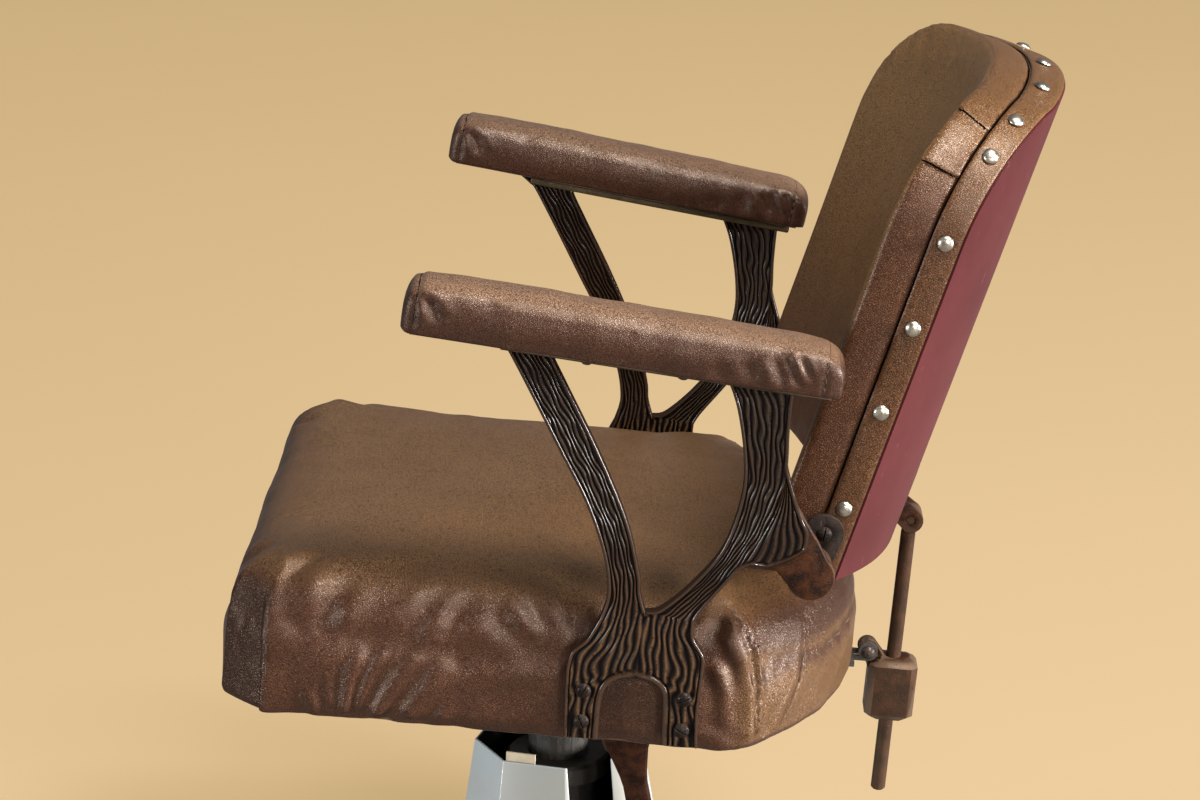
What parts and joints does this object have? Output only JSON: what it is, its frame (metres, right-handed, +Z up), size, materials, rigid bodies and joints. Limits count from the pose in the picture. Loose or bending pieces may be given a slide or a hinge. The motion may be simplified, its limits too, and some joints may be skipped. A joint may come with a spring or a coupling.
{
  "type": "hairdressing chair",
  "caption": "Upholstered hairdressing chair with ribbed cast arms, a curved reclining back held by a clamped rod, and a swivelling oil-lifted pedestal.",
  "frame": {"origin": "on the floor, on the axis that the seat turns and rises on", "axes": "+Z up, -X is the way the sitter faces, +Y to the sitter's right"},
  "size_m": [0.7326, 0.6166, 0.9276],
  "materials": {
    "brown_leather": "worn, fine grain",
    "burgundy_panel": "satin",
    "dark_cast_iron": "ribbed, worn paint",
    "rusty_steel": "rusty",
    "white_enamel": "gloss enamel",
    "black_iron": "matt black",
    "steel": "satin",
    "bearing_bronze": "satin",
    "beech": "bare"
  },
  "bodies": {
    "base": {"base_foot": "dark_cast_iron", "pedestal_casing": "white_enamel", "oil_cylinder": "black_iron", "gland_nut": "black_iron", "casing_clip": "white_enamel"},
    "ram": {"ram": "steel", "thrust_washer": "bearing_bronze"},
    "seat": {"swivel_head": "dark_cast_iron", "seat_frame": "beech", "seat_board": "beech", "seat_cushion": "brown_leather", "rod_bracket": "dark_cast_iron", "block_pin": "steel", "lever_bracket": "dark_cast_iron", "lever_pin": "steel", "head_bolt_1": "steel", "head_bolt_2": "steel", "head_bolt_3": "steel", "head_bolt_4": "steel", "rod_bracket_screw_1": "steel", "lever_bracket_screw_1": "steel", "rod_bracket_screw_2": "steel", "lever_bracket_screw_2": "steel", "arm_frame_left": "dark_cast_iron", "arm_pad_left": "brown_leather", "arm_board_left": "beech", "back_pivot_pin_left": "steel", "arm_pad_screw_left_1": "steel", "arm_pad_screw_left_2": "steel", "arm_screw_left_1": "steel", "arm_screw_left_2": "steel", "arm_screw_left_3": "steel", "arm_screw_left_4": "steel", "arm_frame_right": "dark_cast_iron", "arm_pad_right": "brown_leather", "arm_board_right": "beech", "back_pivot_pin_right": "steel", "arm_pad_screw_right_1": "steel", "arm_pad_screw_right_2": "steel", "arm_screw_right_1": "steel", "arm_screw_right_2": "steel", "arm_screw_right_3": "steel", "arm_screw_right_4": "steel"},
    "back": {"back_frame": "beech", "back_panel": "burgundy_panel", "back_cushion": "brown_leather", "back_band": "brown_leather", "hinge_plate_left": "steel", "hinge_plate_right": "steel", "hinge_screw_left": "steel", "hinge_screw_right": "steel", "rod_lug": "rusty_steel", "lug_screw_1": "steel", "lug_screw_2": "steel", "lug_pin": "rusty_steel"},
    "prop_rod": {"prop_rod": "rusty_steel"},
    "clamp_block": {"clamp_block": "rusty_steel"},
    "hand_lever": {"hand_lever": "rusty_steel"}
  },
  "joints": [
    {"name": "lift", "type": "slide", "parent": "base", "child": "ram", "axis": [0, 0, 1], "range_m": [0, 0.12]},
    {"name": "swivel", "type": "hinge", "parent": "ram", "child": "seat", "pos_m": [0, 0, 0.32], "axis": [0, 0, 1], "continuous": true},
    {"name": "recline", "type": "hinge", "parent": "seat", "child": "back", "pos_m": [0.22293, 0, 0.53314], "axis": [0, 1, 0], "range_deg": [-6, 20]},
    {"name": "rod_swing", "type": "hinge", "parent": "back", "child": "prop_rod", "pos_m": [0.32415, 0, 0.49129], "axis": [0, 1, 0], "range_deg": [-29, 9]},
    {"name": "block_slide", "type": "slide", "parent": "prop_rod", "child": "clamp_block", "axis": [0.0872, 0, 0.9962], "range_m": [-0.0115, 0.037]},
    {"name": "lever_swing", "type": "hinge", "parent": "seat", "child": "hand_lever", "pos_m": [0.0662, -0.1265, 0.32501], "axis": [0, 1, 0], "range_deg": [0, 30]}
  ],
  "couplings": [
    {"joint": "rod_swing", "follows": "recline", "ratio": -1.4089},
    {"joint": "block_slide", "follows": "recline", "m_per_rad": 0.10445}
  ]
}
